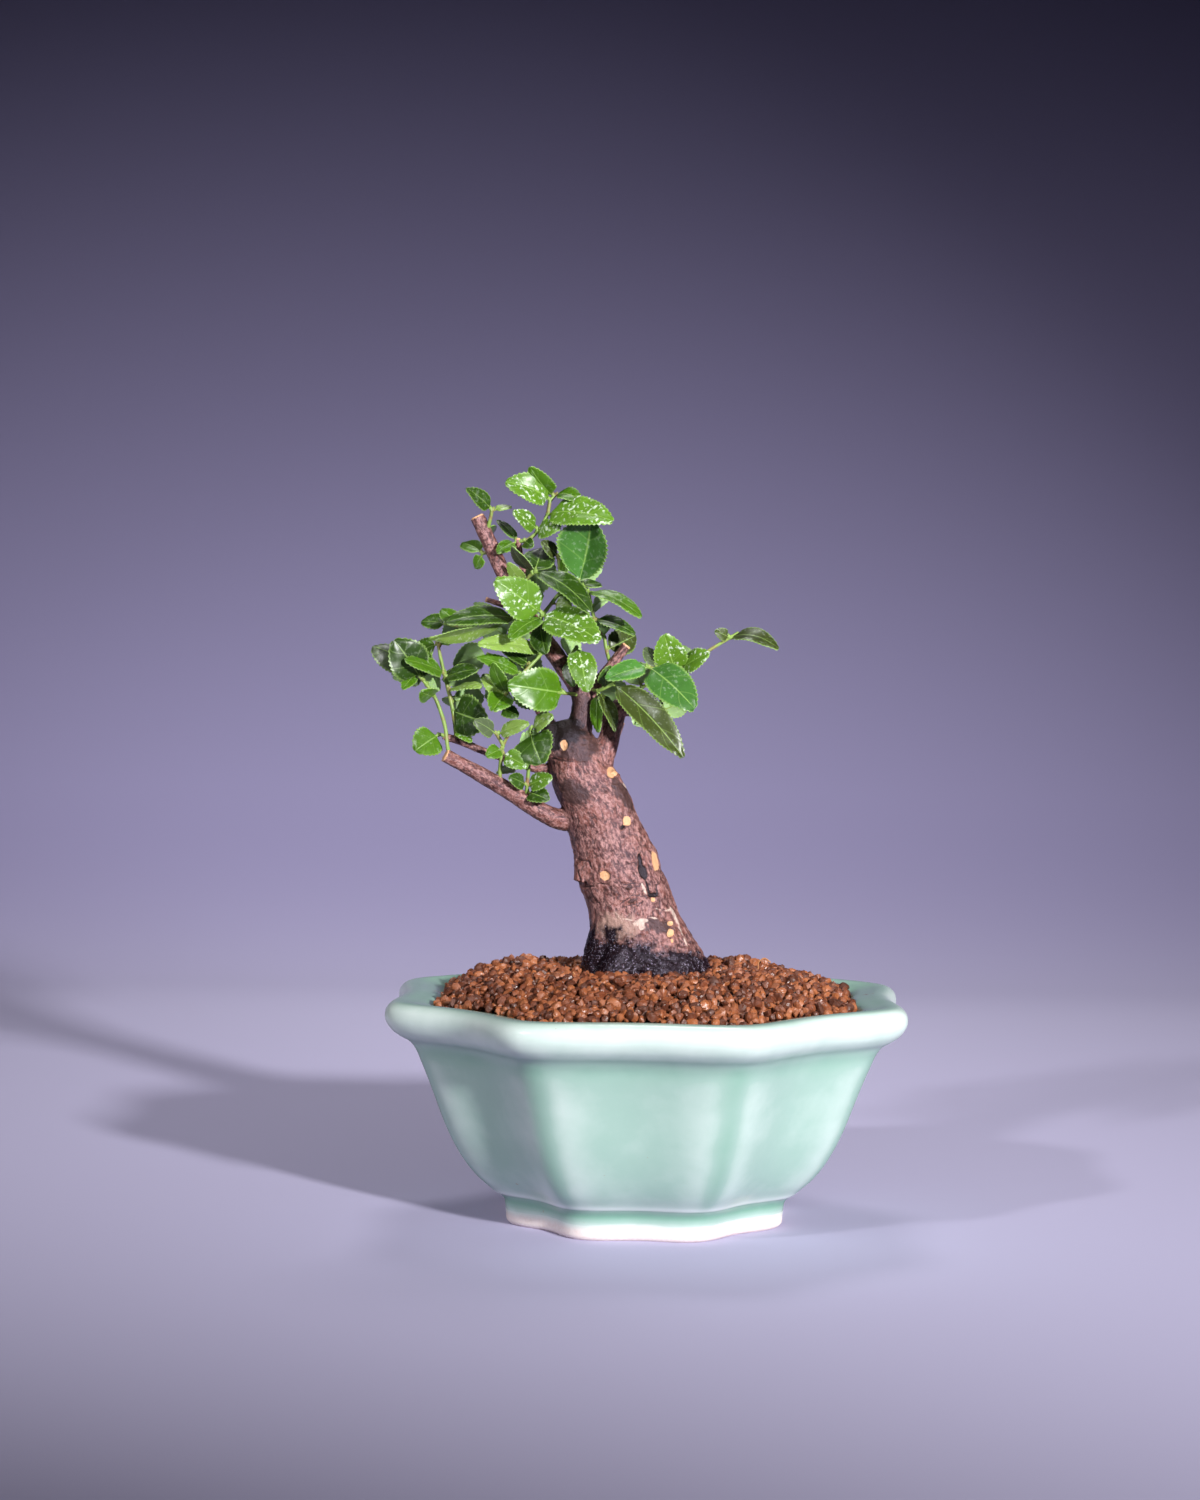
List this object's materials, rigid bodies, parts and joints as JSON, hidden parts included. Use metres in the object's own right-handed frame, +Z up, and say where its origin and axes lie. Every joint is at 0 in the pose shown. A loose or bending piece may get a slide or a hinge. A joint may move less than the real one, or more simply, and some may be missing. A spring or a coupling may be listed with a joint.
{
  "type": "potted bonsai tree",
  "caption": "Small leaning bonsai tree with serrated glossy leaves on pruned branches, planted in granular soil in an eight-sided celadon-glazed pot.",
  "frame": {"origin": "under the middle of the whole plant and pot, on the plane that the foot ring rests on", "axes": "+Z up along the height, -Y towards the front side of the pot, +X to the viewer's right"},
  "size_m": [0.1578, 0.1506, 0.2229],
  "materials": {
    "celadon": "gloss",
    "granules": "satin",
    "bark": "matte",
    "foliage": "satin",
    "screen": "matte"
  },
  "bodies": {
    "root": {"pot": "celadon", "drain_screen": "screen", "soil": "granules", "trunk": "bark", "shoot_crown": "foliage", "shoot_tip": "foliage", "shoot_stub": "foliage", "shoot_upper_right": "foliage", "shoot_upper_front": "foliage", "shoot_mid_front": "foliage", "shoot_upper_left": "foliage", "shoot_mid_left": "foliage", "shoot_lime": "foliage", "shoot_far_left": "foliage", "shoot_left": "foliage", "shoot_twig_end": "foliage", "shoot_low_left": "foliage", "shoot_low_front": "foliage", "shoot_centre": "foliage", "shoot_twiglet": "foliage", "shoot_inner": "foliage", "shoot_right": "foliage", "shoot_back_low": "foliage", "shoot_back_high": "foliage"}
  },
  "joints": []
}
